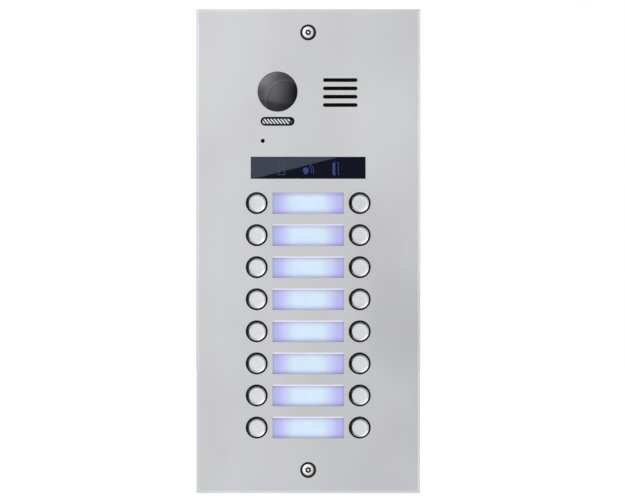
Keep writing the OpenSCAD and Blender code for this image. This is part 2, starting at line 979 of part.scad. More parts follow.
module code_switch_body() {
    track_h = slider_h + slider_travel + 2 * track_gap;
    color([0.7, 0.1, 0.1])
        difference() {
            box_at(code_x, service_z, code_w, code_h, main_back, code_back);
            for (i = [0:1])
                box_at(slider_x(i), service_z, slider_w + 2 * track_gap, track_h, track_floor,
                       code_back + cut);
        }
}

module code_slider(i) {
    color([0.95, 0.95, 0.93])
        box_at(slider_x(i), service_z - slider_travel / 2, slider_w, slider_h,
               track_floor + pivot_gap, code_back + 1);
}

module volume_trimmer_body() {
    color([0.15, 0.3, 0.6])
        difference() {
            box_at(trimmer_x, service_z, trimmer_w, trimmer_w, main_back, trimmer_face);
            rod(trimmer_x, service_z, 1 + pivot_gap, trimmer_face - 2.2, trimmer_face + cut);
        }
}

module volume_trimmer_rotor() {
    color([0.92, 0.9, 0.85])
        difference() {
            union() {
                rod(trimmer_x, service_z, rotor_r, trimmer_face + pivot_gap, rotor_back);
                rod(trimmer_x, service_z, 1, trimmer_face - 2, trimmer_face + pivot_gap + cut);
            }
            box_at(trimmer_x, service_z, 0.7, 3.6, rotor_back - 0.9, rotor_back + cut);
            box_at(trimmer_x, service_z + 0.6, 1.5, 0.7, rotor_back - 0.9, rotor_back + cut);
        }
}

// One button cap: a flat face sunk in a sloping wall, the rounded rim, the skirt, and the stem with the
// snap rim that holds the cap in its guide
module button_cap(side, row) {
    rim = [
        for (a = [30:30:90])
            [cap_r - cap_rim_r * (1 - sin(a)), cap_front + cap_rim_r * (1 - cos(a))]
    ];
    color([0.86, 0.87, 0.88])
        turned(side * button_x, rows[row - 1], concat([
            [0, cap_front + dish_depth], [dish_flat_r, cap_front + dish_depth],
            [cap_r - cap_rim_r, cap_front]
        ], rim, [
            [cap_r, skirt_end], [cap_r - cap_wall, skirt_end], [cap_r - cap_wall, cap_roof],
            [stem_r, cap_roof], [stem_r, guide_back + snap_gap], [snap_r, guide_back + snap_gap],
            [stem_r, stem_end], [0, stem_end]
        ]));
}

front_plate();
perimeter_gasket();
weld_studs();
cover_nuts();
rear_cover();
fixing_screws();
screw_retainers();
camera_window();
camera_mount_frame();
camera_yoke();
camera_housing();
camera_lens();
camera_board();
lamp_mask();
lamp_light_guide();
lamp_board();
speaker_mesh();
speaker_gasket();
speaker_frame();
speaker_cone();
speaker_magnet();
microphone_boot();
microphone_capsule();
status_window();
status_icon_guides();
label_windows();
label_cards();
label_diffusers();
led_chips();
button_bezels();
button_springs();
button_switches();
chassis();
button_board();
main_board();
board_spacers();
board_screws();
terminal_block();
terminal_screws();
code_switch_body();
volume_trimmer_body();
volume_trimmer_rotor();
for (i = [1:2])
    code_slider(i - 1);
for (row = [1:button_rows]) {
    button_cap(-1, row);
    button_cap(1, row);
}
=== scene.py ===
import math

import bmesh
import bpy
from mathutils import Matrix, Vector


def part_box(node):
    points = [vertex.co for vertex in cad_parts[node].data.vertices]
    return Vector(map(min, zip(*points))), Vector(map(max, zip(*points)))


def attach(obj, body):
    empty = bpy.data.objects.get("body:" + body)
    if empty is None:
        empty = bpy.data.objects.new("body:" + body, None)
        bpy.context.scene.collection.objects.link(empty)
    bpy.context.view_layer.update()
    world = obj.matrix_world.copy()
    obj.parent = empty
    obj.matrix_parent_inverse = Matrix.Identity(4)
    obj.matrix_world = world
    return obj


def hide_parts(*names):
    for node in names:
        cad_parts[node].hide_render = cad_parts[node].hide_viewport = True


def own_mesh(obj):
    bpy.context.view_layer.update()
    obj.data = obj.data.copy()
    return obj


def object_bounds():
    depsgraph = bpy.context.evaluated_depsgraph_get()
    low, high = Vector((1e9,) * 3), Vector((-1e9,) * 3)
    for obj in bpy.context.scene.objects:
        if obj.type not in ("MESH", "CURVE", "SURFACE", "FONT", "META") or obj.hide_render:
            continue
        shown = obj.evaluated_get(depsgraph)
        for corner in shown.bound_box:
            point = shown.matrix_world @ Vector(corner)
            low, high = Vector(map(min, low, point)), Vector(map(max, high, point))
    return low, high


# A flush stainless door intercom panel. The front faces -Y, +X is to the right and +Z is up.
# Helpers take millimetres and write metres. Every object sits at the origin, so object coordinates in
# a material are places in the panel's own frame.

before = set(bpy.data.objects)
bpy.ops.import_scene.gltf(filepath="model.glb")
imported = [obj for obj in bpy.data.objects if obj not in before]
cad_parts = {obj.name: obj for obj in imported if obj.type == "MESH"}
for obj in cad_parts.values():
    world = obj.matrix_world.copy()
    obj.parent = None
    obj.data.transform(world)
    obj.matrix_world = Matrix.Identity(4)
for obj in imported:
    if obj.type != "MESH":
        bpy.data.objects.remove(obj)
cad_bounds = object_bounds()

MM = 0.001
TAU = 2 * math.pi
ROOT = "panel"


# ---------------------------------------------------------------- places, from the CAD nodes

def middle(node):
    """The middle of a CAD node's box, in millimetres."""
    low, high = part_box(node)
    return (low + high) / 2 / MM


def low_corner(node):
    """The corner of a CAD node's box that is lowest in x, y and z, in millimetres."""
    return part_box(node)[0] / MM


def high_corner(node):
    """The corner of a CAD node's box that is highest in x, y and z, in millimetres."""
    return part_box(node)[1] / MM


ROWS = [middle(f"button_cap_left_{i}").z for i in range(1, 9)]
ROW_PITCH = ROWS[0] - ROWS[1]
BUTTON_X = middle("button_cap_right_1").x
PLATE_FRONT = low_corner("front_plate").y
PLATE_BACK = high_corner("front_plate").y
CAMERA = middle("camera_window")
SPEAKER = middle("speaker_mesh")
LAMP = middle("lamp_light_guide")
STATUS = middle("status_window")


# ---------------------------------------------------------------- mesh helpers

def make_object(name, vertices, faces):
    """A new object from points in millimetres, with its faces turned outward."""
    mesh = bpy.data.meshes.new(name)
    mesh.from_pydata([(x * MM, y * MM, z * MM) for x, y, z in vertices], [], faces)
    shape = bmesh.new()
    shape.from_mesh(mesh)
    bmesh.ops.recalc_face_normals(shape, faces=shape.faces)
    shape.to_mesh(mesh)
    shape.free()
    made = bpy.data.objects.new(name, mesh)
    bpy.context.scene.collection.objects.link(made)
    return made


def shade(made, degrees):
    """Smooth shading, with a crease at every edge that turns by more than the angle."""
    shape = bmesh.new()
    shape.from_mesh(made.data)
    for face in shape.faces:
        face.smooth = True
    for edge in shape.edges:
        edge.smooth = edge.calc_face_angle(0) < math.radians(degrees)
    shape.to_mesh(made.data)
    shape.free()
    return made


def finish_piece(made, material, body=ROOT, replaces=()):
    """Gives a piece its material and its body, and hides the CAD nodes it stands for."""
    made.data.materials.clear()
    made.data.materials.append(material)
    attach(made, body)
    if replaces:
        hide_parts(*replaces)
    return made


def loft(name, rings, closed=False):
    """Joins rings of equally many points. A ring of one point closes an end."""
    vertices = [point for points in rings for point in points]
    starts = []
    total = 0
    for points in rings:
        starts.append(total)
        total += len(points)
    pairs = list(zip(range(len(rings)), range(1, len(rings))))
    if closed:
        pairs.append((len(rings) - 1, 0))
    faces = []
    for i, j in pairs:
        a, b = starts[i], starts[j]
        m, n = len(rings[i]), len(rings[j])
        for k in range(max(m, n)):
            step = (k + 1) % max(m, n)
            if m == 1:
                faces.append((a, b + k, b + step))
            elif n == 1:
                faces.append((a + k, a + step, b))
            else:
                faces.append((a + k, a + step, b + step, b + k))
    return make_object(name, vertices, faces)


def turned(name, x, z, profile, count=64, closed=False, turn=0.0):
    """A body about the y axis through (x, z), from (radius, y). A radius may be a function of angle."""
    rings = []
    for radius, y in profile:
        if radius == 0:
            rings.append([(x, y, z)])
            continue
        points = []
        for k in range(count):
            a = TAU * k / count
            r = radius(a) if callable(radius) else radius
            points.append((x + r * math.cos(a + turn), y, z + r * math.sin(a + turn)))
        rings.append(points)
    return loft(name, rings, closed)


def arc(centre_r, centre_y, radius, start, end, steps):
    """Points of an arc in (radius, y). The angle is 0 towards -y and 90 away from the axis."""
    points = []
    for i in range(steps + 1):
        a = math.radians(start + (end - start) * i / steps)
        points.append((centre_r + radius * math.sin(a), centre_y - radius * math.cos(a)))
    return points


def thread(core, crest, pitch, start, end):
    """Profile rings of a screw thread, whose ridge climbs one pitch in a turn."""
    rings_per_turn = 6
    count = max(2, round((end - start) / pitch * rings_per_turn))
    rings = []
    for i in range(count + 1):
        y = start + (end - start) * i / count

        def radius(a, y=y):
            t = (y / pitch - a / TAU) % 1
            return core + (crest - core) * (1 - abs(2 * t - 1))

        rings.append((radius, y))
    return rings


def tube(name, path, radius, sides, flat=1.0):
    """A round wire along a path of points. flat below 1 presses its section in y."""
    points = [Vector(p) for p in path]
    last = len(points) - 1
    rings = []
    normal = None
    for i, p in enumerate(points):
        before = points[i - 1] if i else p
        after = points[i + 1] if i < last else p
        along = (after - before).normalized()
        if normal is None:
            helper = Vector((0, 1, 0)) if abs(along.y) < 0.9 else Vector((1, 0, 0))
            normal = along.cross(helper).normalized()
        normal = (normal - along * normal.dot(along)).normalized()
        across = along.cross(normal)
        ring = []
        for k in range(sides):
            a = TAU * k / sides
            offset = normal * math.cos(a) * radius + across * math.sin(a) * radius
            offset.y *= flat
            ring.append(tuple(p + offset))
        rings.append(ring)
    rings = [[tuple(points[0])], *rings, [tuple(points[-1])]]
    return loft(name, rings)


def join(name, parts):
    """One object out of several that were just made."""
    shape = bmesh.new()
    for part in parts:
        shape.from_mesh(part.data)
    mesh = bpy.data.meshes.new(name)
    shape.to_mesh(mesh)
    shape.free()
    for part in parts:
        bpy.data.objects.remove(part)
    made = bpy.data.objects.new(name, mesh)
    bpy.context.scene.collection.objects.link(made)
    return made


def softened(name, node, width, material, body=ROOT):
    """A copy of a CAD node with its sharp edges rounded, which stands for it."""
    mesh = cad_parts[node].data.copy()
    mesh.name = name
    shape = bmesh.new()
    shape.from_mesh(mesh)
    bmesh.ops.remove_doubles(shape, verts=shape.verts, dist=1e-7)
    bmesh.ops.dissolve_degenerate(shape, edges=shape.edges, dist=1e-7)
    bmesh.ops.dissolve_limit(
        shape, angle_limit=math.radians(0.3), verts=shape.verts, edges=shape.edges,
        use_dissolve_boundaries=False,
    )
    shape.to_mesh(mesh)
    shape.free()
    for extra in ("custom_normal", "sharp_face"):
        if extra in mesh.attributes:
            mesh.attributes.remove(mesh.attributes[extra])
    made = bpy.data.objects.new(name, mesh)
    bpy.context.scene.collection.objects.link(made)
    sharp_from = 28
    shade(made, sharp_from)
    bevel = made.modifiers.new("soft edges", "BEVEL")
    bevel.width = width * MM
    bevel.segments = 2
    bevel.limit_method = "ANGLE"
    bevel.angle_limit = math.radians(sharp_from)
    bevel.use_clamp_overlap = False
    bevel.harden_normals = True
    return finish_piece(made, material, body, [node])


# ---------------------------------------------------------------- material helpers

class Finish:
    """A material on the Principled shader, with short ways to add and join nodes."""

    def __init__(self, name, **settings):
        self.material = bpy.data.materials.new(name)
        self.material.use_nodes = True
        self.tree = self.material.node_tree
        self.surface = self.tree.nodes["Principled BSDF"]
        for key, value in settings.items():
            self.put(key.replace("_", " ").title().replace("Ior", "IOR"), value)

    def put(self, socket_name, value):
        """Sets or links an input of the Principled shader."""
        self.join_to(self.surface.inputs[socket_name], value)

    def join_to(self, socket, value):
        """Links a socket to another one, or sets its number or colour."""
        if isinstance(value, bpy.types.NodeSocket):
            self.tree.links.new(value, socket)
        elif socket.type == "RGBA" and len(value) == 3:
            socket.default_value = (*value, 1)
        else:
            socket.default_value = value

    def node(self, kind, inputs=(), **settings):
        """A new node with its settings, and its inputs linked or set."""
        made = self.tree.nodes.new(kind)
        for key, value in settings.items():
            setattr(made, key, value)
        for index, value in inputs:
            self.join_to(made.inputs[index], value)
        return made

    def place(self, stretch=(1, 1, 1)):
        """Object coordinates, in metres, stretched along each axis."""
        where = self.node("ShaderNodeTexCoord").outputs["Object"]
        return self.node("ShaderNodeMapping", [("Vector", where), ("Scale", stretch)]).outputs[0]

    def noise(self, scale, stretch=(1, 1, 1), detail=3.0, rough=0.5):
        """Noise from 0 to 1, with scale features to the metre."""
        made = self.node(
            "ShaderNodeTexNoise",
            [("Vector", self.place(stretch)), ("Scale", scale), ("Detail", detail), ("Roughness", rough)],
        )
        return made.outputs["Fac"]

    def ramp(self, value, stops):
        """Colours or greys along a value, from (position, colour)."""
        made = self.node("ShaderNodeValToRGB", [("Fac", value)])
        elements = made.color_ramp.elements
        while len(elements) < len(stops):
            elements.new(0.5)
        for element, (position, colour) in zip(elements, stops):
            element.position = position
            element.color = (*colour, 1) if isinstance(colour, tuple) else (colour, colour, colour, 1)
        return made.outputs["Color"]

    def span(self, value, low, high, to_low=0.0, to_high=1.0, smooth=False):
        """The value's range from low to high, spread over another range."""
        made = self.node(
            "ShaderNodeMapRange",
            [(0, value), (1, low), (2, high), (3, to_low), (4, to_high)],
            interpolation_type="SMOOTHSTEP" if smooth else "LINEAR",
        )
        return made.outputs[0]

    def maths(self, operation, a, b=0.0):
        """A sum on one or two values."""
        return self.node("ShaderNodeMath", [(0, a), (1, b)], operation=operation).outputs[0]

    def mix(self, amount, a, b, blend="MIX"):
        """Two colours mixed, or blended in another way."""
        made = self.node(
            "ShaderNodeMix",
            [("Factor", amount), (6, a), (7, b)],
            data_type="RGBA",
            blend_type=blend,
        )
        return made.outputs[2]

    def bump(self, height, depth):
        """Bump from a height of 0 to 1, which stands for a depth in millimetres."""
        made = self.node(
            "ShaderNodeBump",
            [("Height", height), ("Distance", depth * MM), ("Strength", 1.0)],
        )
        self.put("Normal", made.outputs[0])

    def axes(self):
        """The x, y and z of object coordinates, in metres."""
        return self.node("ShaderNodeSeparateXYZ", [(0, self.place())]).outputs


def moulded(name, colour, roughness, grain=3000.0, depth=0.01, specular=0.5):
    """Moulded plastic: fine spark-eroded grain, with slightly uneven colour and gloss."""
    made = Finish(name, specular_ior_level=specular)
    blotch = made.noise(60.0, detail=2.0)
    darker = tuple(c * 0.86 for c in colour)
    lighter = tuple(min(1.0, c * 1.12) for c in colour)
    made.put("Base Color", made.ramp(blotch, [(0.3, darker), (0.7, lighter)]))
    made.put("Roughness", made.span(made.noise(220.0), 0.3, 0.7, roughness - 0.05, roughness + 0.07))
    made.bump(made.noise(grain, detail=2.0), depth)
    return made.material


def metal(name, colour, roughness, grain, vary=0.06):
    """Bare or plated metal, with a fine uneven grain."""
    made = Finish(name, metallic=1.0)
    streak = made.noise(grain, detail=4.0)
    darker = tuple(c * (1 - vary) for c in colour)
    lighter = tuple(min(1.0, c * (1 + vary)) for c in colour)
    made.put("Base Color", made.ramp(streak, [(0.3, darker), (0.7, lighter)]))
    made.put("Roughness", made.span(streak, 0.3, 0.7, roughness - 0.04, roughness + 0.05))
    made.bump(streak, 0.002)
    return made.material


# ---------------------------------------------------------------- materials

# painted light and shade patches on the plate: middle x and z, reach in x and z, in metres, and
# brightness in the middle
PAINTED_PLATE_PATCHES = [
    (-0.048, 0.01, 0.03, 0.07, 1.045),
    (0.056, 0.075, 0.04, 0.05, 1.06),
    (0.06, -0.05, 0.03, 0.045, 0.9),
    (0.046, 0.0, 0.02, 0.03, 0.96),
]


def plate_steel():
    """Satin stainless, brushed upright, with broad faint clouds, painted light that makes the plate
    lighter to the left and at the top and darker to the right, and a few broad painted light and shade
    patches.
    """
    made = Finish("front_plate_satin_steel", metallic=1.0)
    brush = made.noise(1400.0, (1, 1, 0.012), detail=5.0, rough=0.6)
    cloud = made.noise(16.0, (1, 1, 0.7), detail=4.0)
    tint = made.noise(24.0, (1.3, 1, 0.6), detail=1.0)
    base = made.ramp(cloud, [(0.34, (0.598, 0.602, 0.61)), (0.66, (0.646, 0.65, 0.659))])
    greenish, plain, pinkish = (0.985, 1.0, 0.985), (1.0, 1.0, 1.0), (1.0, 0.986, 1.0)
    hue = made.ramp(tint, [(0.35, greenish), (0.5, plain), (0.65, pinkish)])
    tinted = made.mix(1.0, base, hue, "MULTIPLY")
    lines = made.ramp(brush, [(0.3, 0.985), (0.7, 1.0)])
    x, _, z = made.axes()
    # painted light: lighter to the left, darker to the right, and lighter towards the top
    side = made.span(x, -0.07, 0.07, 1.035, 0.985)
    painted_light = made.maths("MULTIPLY", side, made.span(z, -0.02, 0.1, 1.0, 1.045))
    # painted light and shade: each patch makes the plate lighter or darker round its middle
    for middle_x, middle_z, reach_x, reach_z, change in PAINTED_PLATE_PATCHES:
        across = made.maths("DIVIDE", made.maths("SUBTRACT", x, middle_x), reach_x)
        along = made.maths("DIVIDE", made.maths("SUBTRACT", z, middle_z), reach_z)
        across = made.maths("MULTIPLY", across, across)
        along = made.maths("MULTIPLY", along, along)
        painted_patch = made.span(made.maths("ADD", across, along), 0.0, 1.0, change, 1.0, smooth=True)
        painted_light = made.maths("MULTIPLY", painted_light, painted_patch)
    made.put("Base Color", made.mix(1.0, made.mix(1.0, tinted, lines, "MULTIPLY"), painted_light, "MULTIPLY"))
    made.put("Roughness", made.span(brush, 0.3, 0.7, 0.36, 0.4))
    made.bump(brush, 0.0006)
    return made.material


def cap_steel():
    """Turned and fine-polished stainless."""
    made = Finish("button_cap_polished_steel", metallic=1.0)
    fine = made.noise(2600.0, detail=3.0)
    wear = made.noise(420.0, detail=2.0)
    base = made.ramp(wear, [(0.35, (0.71, 0.722, 0.742)), (0.7, (0.73, 0.742, 0.76))])
    made.put("Base Color", base)
    made.put("Roughness", made.span(fine, 0.3, 0.7, 0.12, 0.15))
    made.bump(fine, 0.00025)
    return made.material


def screw_steel():
    """Polished stainless, with painted shade down in the recess and round the head's side: near black,
    matt and not metallic from about 0.5 to 2.2 mm behind the head's front.
    """
    made = Finish("fixing_screw_polished_steel")
    grain = made.noise(1800.0, detail=3.0)
    _, y, _ = made.axes()
    front = low_corner("fixing_screws").y * MM
    sunk = made.span(y, front + 0.0004, front + 0.0007)
    # painted shade: near black, matt and not metallic in the recess and round the head's side
    painted_recess_shade = made.maths("MULTIPLY", sunk, made.span(y, front + 0.0021, front + 0.0023, 1.0, 0.0))
    steel = made.ramp(grain, [(0.3, (0.82, 0.822, 0.83)), (0.7, (0.88, 0.882, 0.89))])
    made.put("Base Color", made.mix(painted_recess_shade, steel, (0.006, 0.006, 0.006, 1)))
    made.put("Metallic", made.span(painted_recess_shade, 0.0, 1.0, 1.0, 0.0))
    made.put("Roughness", made.span(painted_recess_shade, 0.0, 1.0, 0.17, 0.8))
    made.bump(grain, 0.001)
    return made.material


def smoked_dome():
    """Dark smoked polycarbonate with a hard gloss and a trace of dust."""
    made = Finish("camera_dome_smoked", ior=1.94, specular_tint=(0.97, 0.94, 1.0))
    dust = made.noise(700.0, detail=4.0)
    clean, dusty = (0.0175, 0.0165, 0.0235), (0.0225, 0.0215, 0.0285)
    made.put("Base Color", made.ramp(dust, [(0.35, clean), (0.75, dusty)]))
    made.put("Roughness", made.span(dust, 0.35, 0.75, 0.03, 0.07))
    return made.material


def dark_window():
    """The status window: dark glossy acrylic with a blue hard coat."""
    made = Finish("status_window_acrylic", ior=1.7, specular_tint=(0.66, 0.76, 1.0))
    haze = made.noise(300.0, detail=3.0)
    clear, hazy = (0.0075, 0.009, 0.019), (0.0105, 0.012, 0.0235)
    made.put("Base Color", made.ramp(haze, [(0.3, clear), (0.7, hazy)]))
    made.put("Roughness", made.span(haze, 0.3, 0.7, 0.0, 0.012))
    return made.material


def lit_icon(name, glow):
    """A sign printed behind the status window's gloss, faintly lit."""
    made = Finish(name, ior=1.7, specular_tint=(0.66, 0.76, 1.0), emission_strength=1.0)
    print_grain = made.noise(1500.0, detail=2.0)
    ink, thin_ink = (0.003, 0.003, 0.006), (0.006, 0.006, 0.01)
    made.put("Base Color", made.ramp(print_grain, [(0.3, ink), (0.7, thin_ink)]))
    dim = tuple(c * 0.85 for c in glow)
    made.put("Emission Color", made.ramp(print_grain, [(0.3, dim), (0.7, glow)]))
    made.put("Roughness", made.span(print_grain, 0.3, 0.7, 0.0, 0.012))
    return made.material


def lit_window():
    """A name window: clear acrylic over a card, lit from behind, brightest in the middle, with a painted
    highlight line along its top edge.
    """
    made = Finish("name_window_lit", base_color=(0.2, 0.21, 0.25), emission_strength=1.0)
    x, _, z = made.axes()
    half_w, half_h = 0.02325, 0.00685
    across = made.maths("DIVIDE", made.maths("ABSOLUTE", x), half_w)
    # the place in a row runs from -0.5 to 0.5; whole rows are added so that no value is negative
    row = made.maths("DIVIDE", made.maths("SUBTRACT", z, ROWS[0] * MM), ROW_PITCH * MM)
    in_row = made.maths("SUBTRACT", made.maths("FRACT", made.maths("ADD", row, 20.5)), 0.5)
    up = made.maths("MULTIPLY", in_row, ROW_PITCH * MM / half_h)
    glow = made.ramp(across, [
        (0.0, (0.50, 0.65, 0.76)), (0.4, (0.50, 0.64, 0.75)), (0.66, (0.43, 0.47, 0.70)),
        (0.82, (0.335, 0.34, 0.70)), (0.93, (0.31, 0.315, 0.66)), (1.0, (0.25, 0.26, 0.46)),
    ])
    edge = made.ramp(made.maths("ABSOLUTE", up), [
        (0.0, 1.0), (0.5, 0.99), (0.74, (0.86, 0.81, 0.9)), (0.86, (0.68, 0.58, 0.72)),
        (1.0, (0.6, 0.5, 0.62)),
    ])
    cloud = made.ramp(made.noise(160.0, detail=1.0), [(0.3, 0.97), (0.7, 1.03)])
    light = made.mix(1.0, made.mix(1.0, glow, edge, "MULTIPLY"), cloud, "MULTIPLY")
    # painted highlight: a pale line along the top edge of each window, full from the second row down and
    # a quarter as strong on the first
    painted_top_highlight = made.maths("MULTIPLY", made.span(up, 0.925, 0.945), made.span(row, -0.5, -0.4, 1.0, 0.25))
    light = made.mix(painted_top_highlight, light, (0.78, 0.76, 0.86, 1))
    made.put("Emission Color", light)
    made.put("Roughness", made.span(made.noise(500.0), 0.3, 0.7, 0.3, 0.4))
    made.bump(made.noise(1500.0, detail=2.0), 0.002)
    return made.material


def lit(name, colour, glow, strength):
    """Frosted plastic or a phosphor that gives light of its own."""
    made = Finish(name, emission_color=glow, emission_strength=strength)
    cloud = made.noise(800.0, detail=2.0)
    made.put("Base Color", made.ramp(cloud, [(0.3, tuple(c * 0.93 for c in colour)), (0.7, colour)]))
    made.put("Roughness", made.span(cloud, 0.3, 0.7, 0.3, 0.4))
    return made.material


def foam():
    """Closed-cell rubber foam."""
    made = Finish("gasket_closed_cell_foam", roughness=0.85, specular_ior_level=0.3)
    cells = made.node("ShaderNodeTexVoronoi", [("Vector", made.place()), ("Scale", 2200.0)])
    distance = cells.outputs["Distance"]
    pore, skin = (0.008, 0.008, 0.009), (0.024, 0.024, 0.026)
    made.put("Base Color", made.ramp(distance, [(0.0, pore), (0.6, skin)]))
    made.bump(distance, 0.05)
    return made.material


def circuit_board(name, mask, copper):
    """Solder mask over upright copper tracks."""
    made = Finish(name, roughness=0.3)
    tracks_per_metre, breaks_per_metre = 520.0, 60.0
    x, _, z = made.axes()
    snap = made.maths("FLOOR", made.maths("MULTIPLY", x, tracks_per_metre))
    run = made.maths("MULTIPLY", z, breaks_per_metre)
    cell = made.node("ShaderNodeCombineXYZ", [(0, snap), (2, run)]).outputs[0]
    tracks = made.node("ShaderNodeTexNoise", [("Vector", cell), ("Scale", 1.0), ("Detail", 0.0)])
    on_track = made.span(tracks.outputs["Fac"], 0.48, 0.52)
    made.put("Base Color", made.mix(on_track, mask, copper))
    made.bump(on_track, 0.03)
    return made.material


def paper_cone():
    """Black pressed paper with its fibres."""
    made = Finish("speaker_cone_paper", roughness=0.9, specular_ior_level=0.2)
    fibre = made.noise(900.0, (1, 1, 3), detail=5.0, rough=0.7)
    made.put("Base Color", made.ramp(fibre, [(0.3, (0.02, 0.02, 0.022)), (0.7, (0.045, 0.044, 0.045))]))
    made.bump(fibre, 0.03)
    return made.material


def coated_lens():
    """The camera's lens, with its purple-blue coating."""
    made = Finish("camera_lens_coated", roughness=0.02, ior=1.7, coat_weight=1.0, coat_roughness=0.02)
    facing = made.node("ShaderNodeLayerWeight", [("Blend", 0.35)]).outputs["Facing"]
    made.put("Base Color", made.ramp(facing, [(0.0, (0.004, 0.006, 0.02)), (0.7, (0.05, 0.02, 0.09))]))
    return made.material


BLACK = moulded("matt_black_moulding", (0.0045, 0.0045, 0.0055), 0.55, specular=0.18)
PLATE = plate_steel()
CAP = cap_steel()
SCREW = screw_steel()
ZINC = metal("zinc_plated_steel", (0.62, 0.63, 0.66), 0.3, 700.0, vary=0.12)
COPPER = metal("copper_flashed_steel", (0.62, 0.36, 0.2), 0.32, 500.0, vary=0.15)
SPRING = metal("spring_steel_wire", (0.55, 0.56, 0.58), 0.25, 1500.0)
DOME = smoked_dome()
WINDOW = dark_window()
NAME_WINDOW = lit_window()
LAMP_BAR = lit("lamp_bar_frosted", (0.6, 0.62, 0.64), (0.92, 0.96, 1.0), 0.32)
COVER = moulded("rear_cover_black_abs", (0.02, 0.02, 0.022), 0.5, 1500.0, 0.03)
FOAM = foam()
TERMINAL = moulded("terminal_green_polyamide", (0.03, 0.17, 0.06), 0.4)
RUBBER = moulded("black_seal_rubber", (0.006, 0.006, 0.0065), 0.6, 900.0, 0.01, 0.3)
FELT = moulded("microphone_black_felt", (0.004, 0.004, 0.0045), 0.95, 1200.0, 0.05, 0.05)
NYLON = moulded("natural_nylon", (0.72, 0.71, 0.66), 0.45)
ICON_FILL = lit_icon("status_icon_blue", (0.042, 0.067, 0.205))
ICON_LINE = lit_icon("status_icon_line", (0.032, 0.042, 0.078))
ICON_GLOW = lit_icon("status_icon_glow", (0.001, 0.002, 0.026))
SWITCH_RED = moulded("code_switch_red", (0.42, 0.02, 0.02), 0.35)
TRIMMER_BLUE = moulded("trimmer_blue", (0.02, 0.08, 0.32), 0.35)

FINISHES = {
    "front_plate": PLATE,
    "button_cap_metal": CAP,
    "fixing_screw_metal": SCREW,
    "gasket_foam": FOAM,
    "stud_metal": COPPER,
    "nut_metal": ZINC,
    "cover_plastic": COVER,
    "black_moulding": BLACK,
    "camera_housing": moulded("camera_housing_black", (0.014, 0.014, 0.016), 0.38),
    "camera_window_glass": DOME,
    "lens_glass": coated_lens(),
    "lamp_light_guide": LAMP_BAR,
    "light_guide": lit("frosted_light_guide", (0.8, 0.84, 0.92), (0.7, 0.8, 1.0), 0.15),
    "label_window": NAME_WINDOW,
    "label_card": moulded("blank_name_card", (0.82, 0.84, 0.88), 0.7, 900.0, 0.01, 0.2),
    "status_window": WINDOW,
    "led": lit("led_phosphor", (0.85, 0.75, 0.25), (1.0, 0.95, 0.8), 0.6),
    "speaker_mesh": moulded("speaker_mesh_black", (0.008, 0.008, 0.009), 0.5, specular=0.2),
    "speaker_metal": metal("speaker_pressed_steel", (0.3, 0.3, 0.31), 0.4, 400.0),
    "speaker_cone": paper_cone(),
    "magnet": moulded("ferrite_magnet", (0.035, 0.035, 0.038), 0.6, 600.0, 0.05),
    "circuit_board": circuit_board("green_circuit_board", (0.006, 0.07, 0.025), (0.02, 0.15, 0.05)),
    "white_circuit_board": circuit_board("white_circuit_board", (0.78, 0.78, 0.76), (0.7, 0.69, 0.66)),
    "nylon": NYLON,
    "spring_steel": SPRING,
    "chassis_plastic": moulded("chassis_white_abs", (0.7, 0.7, 0.68), 0.5),
    "terminal_plastic": TERMINAL,
    "code_switch_plastic": SWITCH_RED,
    "trimmer_plastic": TRIMMER_BLUE,
}


def finish_cad_nodes():
    """Every CAD node that stays on show gets the finish of its record slot."""
    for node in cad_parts.values():
        for held in node.material_slots:
            held.material = FINISHES[held.material.name.split(".")[0]]


# ---------------------------------------------------------------- pieces on the front

def make_button_cap(side, sign, row):
    """A metal cap with a black ring round its front edge, a dark piece that paints shade into the gap
    round the cap: flat face sunk in a sloping wall, skirt and snap stem.
    """
    node = f"button_cap_{side}_{row}"
    x, z = sign * BUTTON_X, ROWS[row - 1]
    front = low_corner(node).y
    back = high_corner(node).y
    cap_r = high_corner(node).x - middle(node).x
    face_r, rim_r, slope = 0.8 * cap_r, 0.1, math.radians(33)
    wall, skirt_end, skirt_edge = 0.9, 1.2, 0.1
    shade_ring_w, shade_ring_depth, shade_ring_round = 0.3, 0.7, 0.08
    shade_ring_in, shade_ring_back = cap_r - shade_ring_w, front + shade_ring_depth
    face_y = front + (cap_r - rim_r - face_r) * math.tan(slope)
    roof = face_y + wall
    ease = 0.16
    bend = ease / math.tan(slope / 2)
    dish = [(0, face_y), (face_r * 0.5, face_y), (face_r - ease, face_y)]
    for i in range(1, 5):
        a = slope * i / 4
        dish.append((face_r - ease + bend * math.sin(a), face_y - bend * (1 - math.cos(a))))
    wall_in = Vector(dish[-1])
    wall_out = Vector((shade_ring_in, wall_in.y - (shade_ring_in - wall_in.x) * math.tan(slope)))
    wall_ends = [tuple(wall_in.lerp(wall_out, t)) for t in (0.05, 0.95, 1.0)]
    stem_r, snap_r, snap_y = 2.0, 2.9, back - 0.65
    profile = [
        *dish, *wall_ends, (shade_ring_in, shade_ring_back), (cap_r, shade_ring_back),
        (cap_r, skirt_end - skirt_edge), (cap_r - skirt_edge, skirt_end), (cap_r - wall, skirt_end),
        (cap_r - wall, roof), (stem_r, roof), (stem_r, snap_y), (snap_r, snap_y),
        (stem_r, back), (0, back),
    ]
    made = shade(turned(f"button_face_{side}_{row}", x, z, profile, 96), 40)
    finish_piece(made, CAP, f"button_{side}_{row}", [node])
    # painted shade: the black ring round the cap's edge widens and darkens the dark gap round the cap
    section = [
        (shade_ring_in, shade_ring_back), *arc(shade_ring_in + shade_ring_round, front + shade_ring_round, shade_ring_round, -90, 0, 3),
        *arc(cap_r - rim_r, front + rim_r, rim_r, 0, 90, 4), (cap_r, shade_ring_back),
    ]
    ring = shade(turned(f"button_shade_ring_{side}_{row}", x, z, section, 96, closed=True), 40)
    finish_piece(ring, BLACK, f"button_{side}_{row}")


